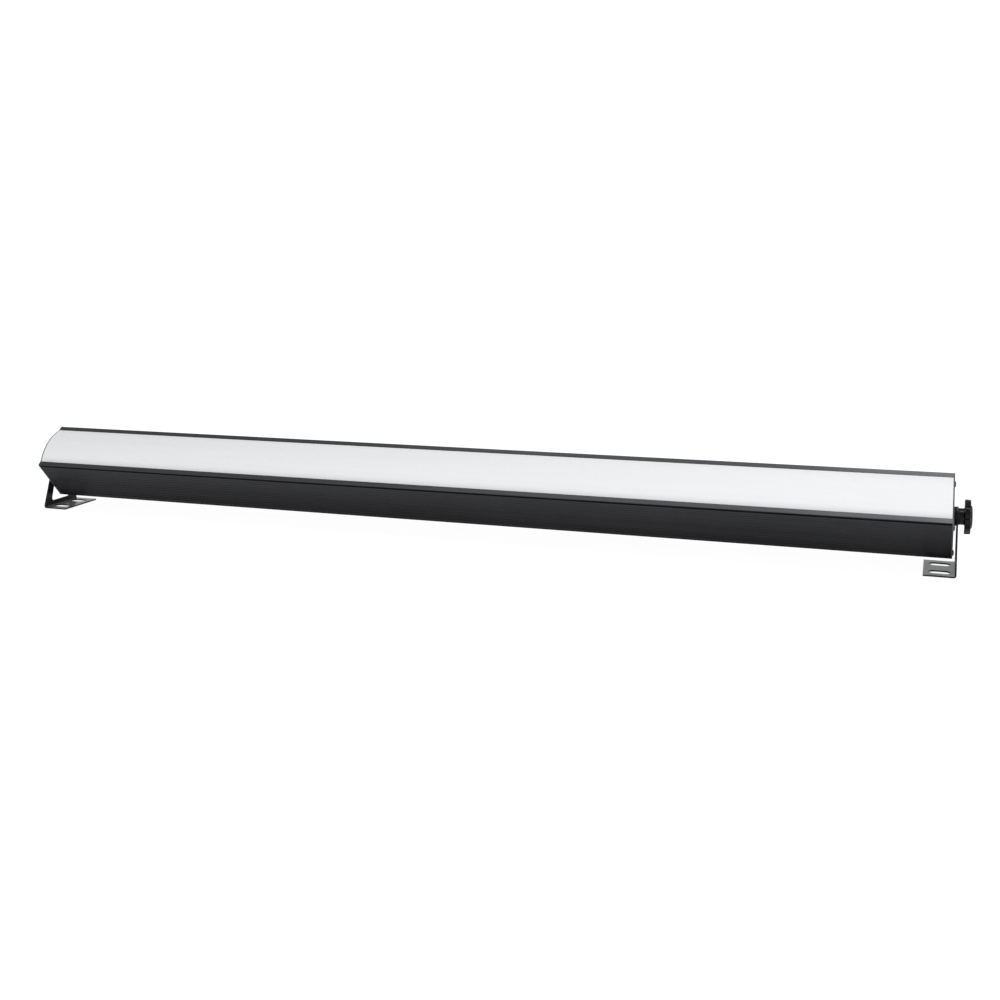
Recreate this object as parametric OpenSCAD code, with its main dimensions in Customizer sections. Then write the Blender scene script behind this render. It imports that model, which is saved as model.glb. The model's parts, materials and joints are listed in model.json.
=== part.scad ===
// LED strip batten on two floor brackets.
// X runs along the batten, -Y is the side that the light leaves, +Z is up.
// The origin is on the floor, midway between the brackets and under the tilt axis.

/* [Housing] */
// Length over the two end caps
batten_len = 1000; // [800:10:1200]
// Width across the diffuser
body_w = 59; // [58:0.5:62]
// Depth from the rails to the back wall
body_d = 55.5; // [55:0.5:58]
// Wall thickness of the extrusion
wall = 1.8; // [1.6:0.1:2]
// Tilt of the diffuser back from straight up
tilt = 41; // [30:1:50]
// Number of fine grooves along each side
groove_count = 14; // [6:1:14]
// Thickness of an end cap
cap_t = 1.2; // [1.2:0.1:2]

/* [Diffuser] */
// Width of the rail on each side of the diffuser
rail_w = 5.5; // [5:0.1:6]
// Height of the crown above the rails
lens_rise = 6; // [4:0.5:8]
// Thickness of the diffuser
lens_t = 2; // [1.6:0.1:2]

/* [Light engine] */
// Number of lights along one board
leds_along = 12; // [6:1:12]
// Number of rows of lights on a board
led_rows = 3; // [2:1:3]
// Size of a square light package
led_size = 5; // [3.5:0.5:5]

/* [Bracket] */
// Height of the tilt axis above the floor
pivot_h = 52; // [51.5:0.5:60]
// Thickness of the bracket sheet
bracket_t = 1.5; // [1.5:0.25:2.5]
// Reach of the foot under the batten, sheet included
foot_w = 29.5; // [27:0.5:34]
// Depth of the foot
foot_d = 57; // [52:1:64]
// Radius of the bracket's top round the tilt axis
bracket_top_r = 9.3; // [8.5:0.1:10]
// Length of a foot slot, end to end
slot_len = 19.5; // [16:0.5:20]
// Width of a foot slot
slot_w = 11; // [8:0.5:12]
// Distance between the two slots of a foot
slot_pitch = 29.5; // [26:0.5:32]

/* [Knob] */
// Diameter over the lobes
knob_d = 33; // [30:0.5:36]
// Number of lobes
knob_lobes = 6; // [5:1:8]
// Diameter of the neck
neck_d = 15.7; // [14:0.1:16]
// Diameter of the threaded stud
stud_d = 8; // [6:1:8]

/* [Hidden] */

$fn = 48;
eps = 0.01;          // overlap that lets one cut run past another
run_gap = 0.07;      // radial clearance of a part that turns or slides
seat_gap = 0.1;      // clearance of a part that is slid or dropped into place

// Housing section, in Y and Z of the body's own frame
housing_len = batten_len - 2 * cap_t;
half_w = body_w / 2;
half_d = body_d / 2;
corner_cut = 0.6;               // chamfer on the four long corners
rail_recess_at = 1.6;           // shadow groove under each rail
rail_recess_h = 1.6;
rail_recess_depth = 0.9;
groove_pitch = 3.3;
groove_w = 1.5;
groove_depth = 0.55;
first_groove = 6;               // from the rails' front plane
lens_groove_h = lens_t + 0.2;   // slot that holds the diffuser's edge
ledge_t = 1.5;
ledge_reach = 3.2;
tray_z = 9;                     // underside of the LED tray
tray_t = 1.5;
boss_r = 3.1;
boss_hole_r = 1.25;
boss_y = half_w - 4.2;
boss_front_z = half_d - 12;
boss_back_z = -half_d + 4.5;

// Diffuser arc
lens_half = half_w - rail_w;
lens_r = (lens_half * lens_half + lens_rise * lens_rise) / (2 * lens_rise);
lens_centre = half_d + lens_rise - lens_r;

// Stack on the tilt axis, outwards from an end cap's outer face
spacer_t = 2.5;
face_gap = 0.02;                // between flat faces that slide on each other
spacer_r = 9;
washer_t = 1;
washer_r = 8;
cap_face = batten_len / 2;
plate_in = cap_face + spacer_t;
plate_out = plate_in + bracket_t;
knob_base = plate_out + washer_t;
neck_h = 4.3;
lobe_h = 5.5;
boss_h = 1.9;
stud_r = stud_d / 2 - 0.02;
bend_r = bracket_t + 1;         // outer radius of the bracket's bend

// Rear panel, in X along the batten and Y across the back wall
panel_len = 300;
panel_w = 50;
panel_t = 1.5;
panel_opening = [292, 43];
inlet_x = -118;
outlet_x = -64;
fuse_x = -29;
window_x = 1;
button_x = 30;
button_pitch = 9;
dmx_in_x = 88;
dmx_out_x = 121;
flange_t = 2;
iec_flange = [50, 22.5];
iec_hole = [27.5, 20];
iec_screw_x = 20;
iec_pins = [[-7, -2], [7, -2], [0, 3]]; // line, neutral and the offset earth
xlr_contacts = [[-4.2, -2.4], [4.2, -2.4], [0, 4.8]];
pin_end = -24;                  // rear end of every connector pin, from the back wall's face
xlr_flange = [26, 31];
xlr_screw = [9.5, 12];
xlr_hole_r = 12;

// Boards
board_t = 1.6;
pillar_h = 5;
pillar_r = 3;
board_w = 43;
psu_x = [-342, -172];
driver_x = [172, 297];
stud_x = -153;
feed_x = 223;                   // where the feed wires pass up through the tray
led_board_len = 242;
led_board_w = 44;
led_board_gap = 2;
led_board_pitch = led_board_len + led_board_gap;

black_paint = [0.09, 0.09, 0.10];
rail_black = [0.20, 0.21, 0.23];
opal = [0.90, 0.91, 0.92];
steel = [0.72, 0.73, 0.75];
brass_metal = [0.80, 0.66, 0.36];
moulding = [0.06, 0.06, 0.065];
board_green = [0.05, 0.30, 0.16];
board_white = [0.93, 0.93, 0.90];

// ---------------------------------------------------------------- helpers

// Puts the body's own frame at the tilt axis, tilted back
module in_body() {
    translate([0, 0, pivot_h]) rotate([tilt, 0, 0]) children();
}

// Frame on the back wall: +Z points out of the wall
module on_rear(x = 0, y = 0) {
    in_body() translate([x, y, -half_d]) rotate([180, 0, 0]) children();
}

// Extrudes a section drawn in Y and Z along X, starting at x0
module along_x(x0, len) {
    translate([x0, 0, 0]) rotate([90, 0, 90]) linear_extrude(len) children();
}

// Turns a part drawn along +Z so that it points out of one end, side -1 or 1
module at_end(side, x) {
    translate([side * x, 0, 0]) rotate([0, side * 90, 0]) children();
}

// Box centred in X and Y, from z0 to z1
module slab(size, z0, z1) {
    translate([-size[0] / 2, -size[1] / 2, z0]) cube([size[0], size[1], z1 - z0]);
}

module ring(outer_r, inner_r, h) {
    difference() {
        cylinder(r = outer_r, h = h);
        translate([0, 0, -eps]) cylinder(r = inner_r, h = h + 2 * eps);
    }
}

module chamfered_rectangle(w, h, c) {
    polygon([
        [-w / 2 + c, -h / 2], [w / 2 - c, -h / 2], [w / 2, -h / 2 + c], [w / 2, h / 2 - c],
        [w / 2 - c, h / 2], [-w / 2 + c, h / 2], [-w / 2, h / 2 - c], [-w / 2, -h / 2 + c]
    ]);
}

// Convex outline with round corners, from the centres of its corner circles, anticlockwise
module rounded_outline(centres, r) {
    n = len(centres);
    polygon([
        for (i = [0 : n - 1], edge = [0, 1])
            let (
                from = centres[(i + n - 1 + edge) % n],
                to = centres[(i + edge) % n],
                along = (to - from) / norm(to - from)
            )
            centres[i] + r * [along[1], -along[0]]
    ]);
    for (c = centres) translate(c) circle(r);
}

// Pan head screw with a cross recess; the head stands on the XY plane
module pan_screw(head_r, head_h, shank_r, shank_len) {
    crown = head_h * 0.55;
    crown_r = (head_r * head_r + crown * crown) / (2 * crown);
    recess = head_r * 1.1;
    difference() {
        intersection() {
            cylinder(r = head_r, h = head_h);
            translate([0, 0, head_h - crown_r]) sphere(crown_r);
        }
        for (a = [0, 90]) rotate(a) slab([recess, head_r * 0.28], head_h * 0.4, head_h + 1);
    }
    translate([0, 0, -shank_len]) cylinder(r = shank_r, h = shank_len + eps);
}

function tangent_point(p, c, r, sign) =
    let (
        v = p - c,
        angle = atan2(v[1], v[0]) + sign * acos(r / norm(v))
    )
    c + r * [cos(angle), sin(angle)];

// Smooth path through hand-placed points
function catmull(p0, p1, p2, p3, t) =
    0.5 * (2 * p1 + (p2 - p0) * t + (2 * p0 - 5 * p1 + 4 * p2 - p3) * t * t
        + (3 * p1 - p0 - 3 * p2 + p3) * t * t * t);

function smooth_path(points, steps) =
    let (n = len(points))
    [
        for (i = [0 : n - 2], k = [0 : steps - 1])
            catmull(points[max(i - 1, 0)], points[i], points[i + 1],
                points[min(i + 2, n - 1)], k / steps),
        points[n - 1]
    ];

// Direction of a path at one of its points, and square to the first and last legs at its ends
function path_heading(points, path, i) =
    let (n = len(path), last = len(points) - 1)
    i == 0 ? points[1] - points[0]
        : i == n - 1 ? points[last] - points[last - 1]
        : path[i + 1] - path[i - 1];

// One closed tube swept along a path
// up is a direction that the path never runs along
module tube(points, r, up = [0, 1, 0], steps = 4, sides = 8) {
    path = smooth_path(points, steps);
    n = len(path);
    rings = [
        for (i = [0 : n - 1])
            let (
                ahead = path_heading(points, path, i),
                side_axis = cross(ahead, up) / norm(cross(ahead, up)),
                top_axis = cross(side_axis, ahead) / norm(ahead)
            )
            for (k = [0 : sides - 1])
                path[i] + r * (cos(360 * k / sides) * side_axis
                    + sin(360 * k / sides) * top_axis)
    ];
    walls = [
        for (i = [0 : n - 2], k = [0 : sides - 1])
            let (a = i * sides + k, b = i * sides + (k + 1) % sides)
            [a, b, b + sides, a + sides]
    ];
    first = [for (k = [sides - 1 : -1 : 0]) k];
    last = [for (k = [0 : sides - 1]) (n - 1) * sides + k];
    polyhedron(rings, concat([first, last], walls), convexity = 10);
}

// ---------------------------------------------------------------- housing

module housing_section() {
    inner_w = half_w - wall;
    difference() {
        chamfered_rectangle(body_w, body_d, corner_cut);
        // inside of the channel, closed at the front by the rails
        translate([-inner_w, -half_d + wall]) square([2 * inner_w, body_d - 2 * wall]);
        translate([-lens_half, 0]) square([2 * lens_half, half_d + eps]);
        for (s = [-1, 1]) {
            translate([s * half_w - rail_recess_depth, half_d - rail_recess_at - rail_recess_h])
                square([2 * rail_recess_depth, rail_recess_h]);
            for (i = [0 : groove_count - 1])
                translate([s * half_w, half_d - first_groove - i * groove_pitch])
                    polygon([[0, -groove_w / 2], [-s * groove_depth, 0], [0, groove_w / 2],
                        [s, groove_w / 2], [s, -groove_w / 2]]);
        }
    }
    ledge_tops = [half_d - wall - lens_groove_h, tray_z + tray_t + seat_gap + ledge_t,
        tray_z - seat_gap];
    for (s = [-1, 1], top = ledge_tops)
        translate([s * (inner_w - ledge_reach / 2 + eps), top - ledge_t / 2])
            square([ledge_reach + 2 * eps, ledge_t], center = true);
    for (s = [-1, 1], z = [boss_front_z, boss_back_z])
        difference() {
            translate([s * boss_y, z]) circle(boss_r);
            // the boss stops inside the wall, clear of the grooves outside
            translate([s * (half_w - groove_depth - 0.3 + boss_r), z])
                square(2 * boss_r, center = true);
        }
}

module housing() {
    color(black_paint) in_body() difference() {
        along_x(-housing_len / 2, housing_len) difference() {
            housing_section();
            for (s = [-1, 1], z = [boss_front_z, boss_back_z])
                translate([s * boss_y, z]) circle(boss_hole_r, $fn = 24);
        }
        slab(panel_opening, -half_d - 1, -half_d + wall + 0.5);
        for (x = panel_screw_xs(), s = [-1, 1])
            translate([x, s * (panel_w / 2 - 2), -half_d - 1]) cylinder(r = 1.1, h = 4, $fn = 24);
    }
}

module diffuser() {
    edge_top = half_d - wall - seat_gap;
    neck_in = lens_half - seat_gap - lens_t;
    color(opal) in_body() along_x(-housing_len / 2 + seat_gap, housing_len - 2 * seat_gap) {
        intersection() {
            difference() {
                translate([0, lens_centre]) circle(lens_r, $fn = 180);
                translate([0, lens_centre]) circle(lens_r - lens_t, $fn = 180);
            }
            translate([-lens_half + seat_gap, half_d - lens_t])
                square([2 * (lens_half - seat_gap), lens_rise + 2 * lens_t]);
        }
        for (s = [-1, 1]) {
            translate([s > 0 ? neck_in : -neck_in - lens_t, edge_top - lens_t])
                square([lens_t, lens_t + wall + seat_gap]);
            translate([s > 0 ? neck_in : -half_w + wall + seat_gap, edge_top - lens_t])
                square([half_w - wall - seat_gap - neck_in, lens_t]);
        }
    }
}

// ---------------------------------------------------------------- ends

module end_cap(side) {
    step = 0.3; // the cap stops this far short of the diffuser's crown
    color(black_paint) in_body() difference() {
        along_x(side > 0 ? cap_face - cap_t : -cap_face, cap_t) difference() {
            union() {
                chamfered_rectangle(body_w, body_d, corner_cut);
                intersection() {
                    translate([0, lens_centre]) circle(lens_r - step, $fn = 180);
                    translate([-lens_half, 0]) square([2 * lens_half, body_d]);
                }
            }
            circle(5);
            for (y = [-1, 1], z = [boss_front_z, boss_back_z])
                translate([y * boss_y, z]) circle(1.7, $fn = 24);
        }
    }
}

module end_cap_screws() {
    color(steel) in_body() for (side = [-1, 1], y = [-1, 1], z = [boss_front_z, boss_back_z])
        translate([0, y * boss_y, z]) at_end(side, cap_face)
            rotate(y * 20 + z) pan_screw(2.75, 1.5, boss_hole_r - 0.05, 10, $fn = 24);
}

module pivot_inserts() {
    flange_h = 5;
    color(steel) in_body() for (side = [-1, 1]) at_end(side, cap_face) difference() {
        union() {
            translate([0, 0, -cap_t - flange_h]) cylinder(r = 6.5, h = flange_h, $fn = 6);
            translate([0, 0, -cap_t - eps]) cylinder(r = 4.95, h = cap_t + eps);
        }
        translate([0, 0, -10]) cylinder(r = stud_d / 2 + 0.05, h = 12);
    }
}

module pivot_spacer(side) {
    color(moulding) in_body() at_end(side, cap_face)
        ring(spacer_r, stud_d / 2 + 0.1, spacer_t - face_gap);
}

// ---------------------------------------------------------------- brackets

module bracket_outline() {
    c = [0, pivot_h];
    foot_corner = [foot_d / 2, bend_r + 1];
    touch = tangent_point(foot_corner, c, bracket_top_r, -1);
    far_touch = touch[0] > 0 ? touch : tangent_point(foot_corner, c, bracket_top_r, 1);
    polygon([
        [-foot_d / 2, bend_r], [foot_d / 2, bend_r], foot_corner, far_touch, c,
        [-far_touch[0], far_touch[1]], [-foot_corner[0], foot_corner[1]]
    ]);
    translate(c) circle(bracket_top_r);
}

module bracket_window() {
    rounded_outline([[-12.6, 9.6], [12.6, 9.6], [4.2, 36], [-4.2, 36]], 3);
}

module foot_section() {
    difference() {
        union() {
            translate([plate_out - foot_w, 0]) square([foot_w - bend_r, bracket_t]);
            intersection() {
                translate([plate_out - bend_r, bend_r]) circle(bend_r);
                translate([plate_out - bend_r, 0]) square(bend_r);
            }
        }
        translate([plate_out - bend_r, bend_r]) circle(bend_r - bracket_t);
    }
}

module foot_slot() {
    for (s = [-1, 1]) translate([s * (slot_len - slot_w) / 2, 0, -1])
        cylinder(r = slot_w / 2, h = bracket_t + 2);
    slab([slot_len - slot_w, slot_w], -1, bracket_t + 1);
}

// Right-hand bracket
module bracket_shape() {
    slot_x = plate_out - foot_w / 2;
    difference() {
        union() {
            translate([0, foot_d / 2, 0]) rotate([90, 0, 0]) linear_extrude(foot_d) foot_section();
            along_x(plate_in, bracket_t) bracket_outline();
        }
        along_x(plate_in - 1, bracket_t + 2) bracket_window();
        for (s = [-1, 1]) translate([slot_x, s * slot_pitch / 2, 0]) foot_slot();
        translate([plate_in - 1, 0, pivot_h]) rotate([0, 90, 0])
            cylinder(r = stud_r + run_gap, h = bracket_t + 2);
    }
}

module bracket(side) {
    color(black_paint) if (side > 0) bracket_shape(); else mirror([1, 0, 0]) bracket_shape();
}

// ---------------------------------------------------------------- knobs

module knob_washer(side) {
    color(steel) in_body() at_end(side, plate_out)
        translate([0, 0, face_gap]) ring(washer_r, stud_r + 0.2, washer_t - 2 * face_gap);
}

module knob(side) {
    lobe_r = knob_d / 2;
    scallop_r = lobe_r * 0.34;
    boss_end_r = lobe_r * 0.66;
    boss_edge = 0.9;
    top = neck_h + lobe_h;
    color(moulding) in_body() at_end(side, knob_base) difference() {
        union() {
            cylinder(r = neck_d / 2, h = neck_h + eps);
            translate([0, 0, neck_h]) difference() {
                cylinder(r = lobe_r, h = lobe_h);
                for (i = [0 : knob_lobes - 1])
                    rotate((i + 0.5) * 360 / knob_lobes)
                        translate([lobe_r * 1.13, 0, -1]) cylinder(r = scallop_r, h = lobe_h + 2);
            }
            translate([0, 0, top - eps]) cylinder(r = boss_end_r, h = boss_h - boss_edge + eps);
            translate([0, 0, top + boss_h - boss_edge])
                cylinder(r1 = boss_end_r, r2 = boss_end_r - 2 * boss_edge, h = boss_edge);
        }
        translate([0, 0, -1]) cylinder(r = stud_r + 0.02, h = 9);
    }
}

module knob_stud(side) {
    thread_len = 13;
    pitch = 1.25;
    turns = floor(thread_len / pitch);
    root_r = stud_r - 0.65;
    inner_end = -21;
    color(steel) in_body() at_end(side, knob_base) {
        translate([0, 0, inner_end + turns * pitch])
            cylinder(r = stud_r, h = 7.9 - inner_end - turns * pitch);
        translate([0, 0, inner_end]) rotate_extrude() polygon(concat(
            [[0, 0]],
            [for (i = [0 : turns - 1], p = [[root_r, 0], [stud_r - 0.03, 0.5]])
                [p[0], (i + p[1]) * pitch]],
            [[root_r, turns * pitch], [0, turns * pitch]]
        ));
    }
}

// ---------------------------------------------------------------- light engine

function board_centre(i) = (i - 2.5) * led_board_pitch;

board_hole = [led_board_len / 2 - 8, led_board_w / 2 - 4];

module led_tray() {
    color(steel) in_body() difference() {
        slab([980, 2 * (half_w - wall - 0.2)], tray_z, tray_z + tray_t);
        for (i = [1 : 4], sx = [-1, 1], sy = [-1, 1])
            translate([board_centre(i) + sx * board_hole[0], sy * board_hole[1], tray_z - 1])
                cylinder(r = 1.3, h = tray_t + 2, $fn = 24);
        translate([feed_x, 0, tray_z - 1]) cylinder(r = 4, h = tray_t + 2);
    }
}

module led_board(i) {
    z0 = tray_z + tray_t;
    color(board_white) in_body() translate([board_centre(i), 0, 0]) difference() {
        slab([led_board_len, led_board_w], z0, z0 + board_t);
        for (sx = [-1, 1], sy = [-1, 1])
            translate([sx * board_hole[0], sy * board_hole[1], z0 - 1])
                cylinder(r = 1.6, h = board_t + 2, $fn = 24);
    }
}

module leds() {
    z0 = tray_z + tray_t + board_t;
    pitch_x = 20;
    pitch_y = 13;
    color([0.95, 0.93, 0.78]) in_body()
        for (i = [1 : 4], a = [0 : leds_along - 1], b = [0 : led_rows - 1])
            translate([board_centre(i) + (a - (leds_along - 1) / 2) * pitch_x,
                (b - (led_rows - 1) / 2) * pitch_y, 0])
                difference() {
                    slab([led_size, led_size], z0, z0 + 1.6);
                    translate([0, 0, z0 + 1.3]) cylinder(r = led_size * 0.4, h = 1, $fn = 24);
                }
}

module led_board_screws() {
    color(steel) in_body() for (i = [1 : 4], sx = [-1, 1], sy = [-1, 1])
        translate([board_centre(i) + sx * board_hole[0], sy * board_hole[1],
            tray_z + tray_t + board_t])
            pan_screw(2.4, 1.4, 1.25, 4, $fn = 24);
}

module led_board_links() {
    z0 = tray_z + tray_t + board_t;
    color([0.9, 0.9, 0.86]) in_body() for (i = [1 : 3], s = [-1, 1])
        translate([(board_centre(i) + board_centre(i + 1)) / 2 + s * 4.5, 0, 0])
            slab([6, 9], z0, z0 + 4);
    color([0.9, 0.9, 0.86]) in_body() for (i = [1 : 3])
        translate([(board_centre(i) + board_centre(i + 1)) / 2, 0, 0])
            slab([3, 6], z0 + 1, z0 + 2.6);
}

// ---------------------------------------------------------------- rear panel

function panel_screw_xs() = [-panel_len / 2 + 2.5, -36.5, 72, panel_len / 2 - 2.5];

module flange_plate(size, c, z0, z1) {
    translate([0, 0, z0]) linear_extrude(z1 - z0) chamfered_rectangle(size[0], size[1], c);
}

module control_panel() {
    color(black_paint) on_rear() difference() {
        flange_plate([panel_len, panel_w], 2, 0, panel_t);
        for (x = [inlet_x, outlet_x]) {
            translate([x, 0, 0]) slab(iec_hole + [0.5, 0.5], -1, panel_t + 1);
            for (s = [-1, 1]) translate([x + s * iec_screw_x, 0, -1])
                cylinder(r = 1.4, h = 4, $fn = 24);
        }
        translate([fuse_x, 0, -1]) cylinder(r = 6.4, h = 4);
        translate([window_x, 0, 0]) slab([32, 12], -1, panel_t + 1);
        for (i = [0 : 3]) translate([button_x + i * button_pitch, 0, -1])
            cylinder(r = 3.2, h = 4);
        for (x = [dmx_in_x, dmx_out_x]) {
            translate([x, 0, -1]) cylinder(r = xlr_hole_r, h = 4);
            for (s = [-1, 1]) translate([x + s * xlr_screw[0], s * xlr_screw[1], -1])
                cylinder(r = 1.4, h = 4, $fn = 24);
        }
        for (x = panel_screw_xs(), s = [-1, 1]) translate([x, s * (panel_w / 2 - 2), -1])
            cylinder(r = 1.5, h = 4, $fn = 24);
    }
}

module rear_screws() {
    color(steel) on_rear() {
        for (x = panel_screw_xs(), s = [-1, 1]) translate([x, s * (panel_w / 2 - 2), panel_t])
            pan_screw(1.9, 1.2, 1.05, 3, $fn = 24);
        for (x = [inlet_x, outlet_x], s = [-1, 1])
            translate([x + s * iec_screw_x, 0, panel_t + flange_t])
                pan_screw(2.5, 1.4, 1.3, 6, $fn = 24);
        for (x = [dmx_in_x, dmx_out_x], s = [-1, 1])
            translate([x + s * xlr_screw[0], s * xlr_screw[1], panel_t + flange_t])
                pan_screw(2.5, 1.4, 1.3, 6, $fn = 24);
    }
}

module iec_flange_solid() {
    difference() {
        union() {
            flange_plate(iec_flange, 5, panel_t, panel_t + flange_t);
            slab(iec_hole, -19, panel_t + eps);
        }
        for (s = [-1, 1]) translate([s * iec_screw_x, 0, -1]) cylinder(r = 1.5, h = 6, $fn = 24);
    }
}

module mains_inlet() {
    color(moulding) on_rear(inlet_x) difference() {
        iec_flange_solid();
        translate([0, 0, -10.5]) linear_extrude(20) polygon([
            [-12.2, -8.4], [12.2, -8.4], [12.2, 4.4], [8.2, 8.4], [-8.2, 8.4], [-12.2, 4.4]
        ]);
        for (p = iec_pins) translate([p[0], p[1], 0]) slab([2.2, 4.2], -20, 0);
    }
}

module mains_outlet() {
    color(moulding) on_rear(outlet_x) difference() {
        iec_flange_solid();
        difference() {
            slab([25, 17.4], -12, 10);
            slab([20.4, 12.8], -13, panel_t + flange_t - 0.5);
        }
        for (p = iec_pins) translate([p[0], p[1], 0]) {
            slab([2.4, 4.6], -9, 10);
            slab([2.2, 4.2], -20, 0);
        }
    }
}

// Pins of the sockets, and the solder tags behind them
module connector_pins() {
    color(brass_metal) {
        for (p = iec_pins) {
            on_rear(inlet_x) translate([p[0], p[1], 0]) slab([2, 4], pin_end, 0.5);
            on_rear(outlet_x) translate([p[0], p[1], 0]) slab([2, 4], pin_end, -9.5);
        }
        for (p = xlr_contacts) {
            on_rear(dmx_in_x) translate([p[0], p[1], pin_end])
                cylinder(r = 1.2, h = 0.5 - pin_end, $fn = 24);
            on_rear(dmx_out_x) translate([-p[0], p[1], pin_end])
                cylinder(r = 1.2, h = -9.5 - pin_end, $fn = 24);
        }
        for (s = [-1, 1]) on_rear(fuse_x + s * fuse_tag_x) slab([0.8, 4], -32.5, -27.5);
    }
}

fuse_bore_r = 4.3;
fuse_tag_x = 2;

module fuse_holder() {
    color(moulding) on_rear(fuse_x) difference() {
        union() {
            translate([0, 0, panel_t]) cylinder(r = 8, h = flange_t);
            translate([0, 0, -28]) cylinder(r = 6.3, h = 28 + panel_t + eps);
            translate([0, 0, -3.5]) cylinder(r = 8.6, h = 3.4, $fn = 6);
        }
        translate([0, 0, -26]) cylinder(r = fuse_bore_r, h = 40);
        for (s = [-1, 1]) translate([s * fuse_tag_x, 0, 0]) slab([0.9, 4.1], -30, -26);
    }
}

module fuse_cap() {
    head_z = panel_t + flange_t + 0.1;
    head_h = 4.5;
    color(moulding) on_rear(fuse_x) difference() {
        union() {
            translate([0, 0, head_z]) difference() {
                cylinder(r = 6.6, h = head_h);
                for (i = [0 : 17]) rotate(i * 20) translate([6.9, 0, -1])
                    cylinder(r = 0.6, h = head_h + 2, $fn = 16);
            }
            translate([0, 0, -2]) cylinder(r = fuse_bore_r - run_gap, h = head_z + 2 + eps);
        }
        slab([9, 1.4], head_z + head_h - 1.6, head_z + head_h + 1);
    }
}

module fuse() {
    tube_len = 20;
    cap_len = 4.5;
    top = -2.1;
    color(brass_metal) on_rear(fuse_x) for (z = [top - cap_len, top - tube_len])
        translate([0, 0, z]) cylinder(r = 2.65, h = cap_len);
    color([0.85, 0.9, 0.92]) on_rear(fuse_x)
        translate([0, 0, top - tube_len + 0.5]) cylinder(r = 2.45, h = tube_len - 1);
}

module xlr_body() {
    flange_plate(xlr_flange, 2.5, panel_t, panel_t + flange_t);
    translate([0, 0, -20]) cylinder(r = xlr_hole_r - 0.2, h = 20 + panel_t + eps);
}

module xlr_screw_holes() {
    for (s = [-1, 1]) translate([s * xlr_screw[0], s * xlr_screw[1], -1])
        cylinder(r = 1.5, h = 6, $fn = 24);
}

module dmx_input() {
    color(moulding) on_rear(dmx_in_x) difference() {
        xlr_body();
        xlr_screw_holes();
        translate([0, 0, -11]) cylinder(r = 9.6, h = 20);
        for (p = xlr_contacts) translate([p[0], p[1], -21]) cylinder(r = 1.25, h = 12, $fn = 24);
    }
}

latch_y = 11.8;
latch_stem_y = 10.7;
latch_travel = 1.5;

module dmx_output() {
    face = panel_t + flange_t;
    color(moulding) on_rear(dmx_out_x) difference() {
        xlr_body();
        xlr_screw_holes();
        translate([0, 0, -12]) ring(9.7, 7.6, 20);
        for (p = xlr_contacts) translate([-p[0], p[1], -21])
            cylinder(r = 1.35, h = 30, $fn = 24);
        translate([0, 0, face - 1]) cylinder(r = 9.6, h = 2);
        translate([0, latch_y, 0]) slab([9.4, 3.5], panel_t, face + 1);
        translate([0, latch_stem_y, 0]) slab([4.3, 1.4], -4.5, panel_t + 1);
    }
}

module dmx_output_latch() {
    face = panel_t + flange_t;
    lift = latch_travel + 0.1;
    color(steel) on_rear(dmx_out_x) {
        translate([0, latch_y, 0]) slab([9, 3.1], panel_t + lift, face + lift + 0.5);
        translate([0, latch_stem_y, 0]) slab([4, 1.1], -2.8, panel_t + lift + eps);
    }
}

// ---------------------------------------------------------------- menu

display_board_z = -8;

module display_board() {
    color(board_green) on_rear() translate([21, 0, 0])
        slab([86, 30], display_board_z - board_t, display_board_z);
}

module display_module() {
    color([0.13, 0.13, 0.14]) on_rear(window_x) difference() {
        slab([30, 12.6], display_board_z, -1.2);
        for (i = [-1.5 : 1.5], s = [-1, 1]) translate([i * 7, s * 2.2, 0])
            difference() {
                slab([4.4, 4.4], -1.6, 0);
                slab([2.8, 2.8], -2, 0);
            }
    }
}

module display_window() {
    color([0.15, 0.02, 0.02]) on_rear(window_x) {
        slab([36, 16], -1, -0.02);
        slab([31.6, 11.6], -1, panel_t - 0.2);
    }
}

module menu_button(i) {
    skirt_t = 1;
    tip = -3.2;
    color([0.8, 0.8, 0.82]) on_rear(button_x + (i - 1) * button_pitch) {
        translate([0, 0, -skirt_t - 0.05]) cylinder(r = 4, h = skirt_t);
        translate([0, 0, tip]) cylinder(r = 3.2 - 0.15, h = panel_t + 2 - tip);
    }
}

module menu_switches() {
    color(moulding) on_rear() for (i = [0 : 3]) translate([button_x + i * button_pitch, 0, 0]) {
        slab([6, 6], display_board_z, -4.6);
        translate([0, 0, -5]) cylinder(r = 1.7, h = 0.9);
    }
}

// ---------------------------------------------------------------- electronics

// Frame on the inside of the back wall: +Z points into the housing
module on_floor(x = 0) {
    in_body() translate([x, 0, -half_d + wall]) children();
}

function pillar_places(span) = [
    for (x = [span[0] + 3.5, span[1] - 3.5], y = [-board_w / 2 + 4, board_w / 2 - 4]) [x, y]
];

module plain_board(span) {
    color(board_green) on_floor() difference() {
        translate([(span[0] + span[1]) / 2, 0, 0])
            slab([span[1] - span[0], board_w], pillar_h, pillar_h + board_t);
        for (p = pillar_places(span)) translate([p[0], p[1], 0])
            cylinder(r = 1.6, h = 20, $fn = 24);
    }
}

board_top = pillar_h + board_t;

module psu_choke() {
    color([0.75, 0.4, 0.15]) on_floor(psu_x[1] - 27) translate([0, 0, board_top + 9])
        rotate([0, 90, 0]) rotate_extrude() translate([6.2, 0]) chamfered_rectangle(5.2, 8, 1);
}

module psu_transformer() {
    color([0.85, 0.72, 0.2]) on_floor(psu_x[1] - 84) {
        slab([30, 22], board_top, board_top + 22);
        slab([22, 30], board_top + 5, board_top + 17);
    }
}

module psu_capacitors() {
    color([0.12, 0.14, 0.3]) {
        for (y = [-9.5, 9.5]) on_floor(psu_x[1] - 49) translate([0, y, board_top])
            cylinder(r = 8.5, h = 21);
        for (y = [-13, 0, 13]) on_floor(psu_x[1] - 138) translate([0, y, board_top])
            cylinder(r = 5.5, h = 18);
    }
}

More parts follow.
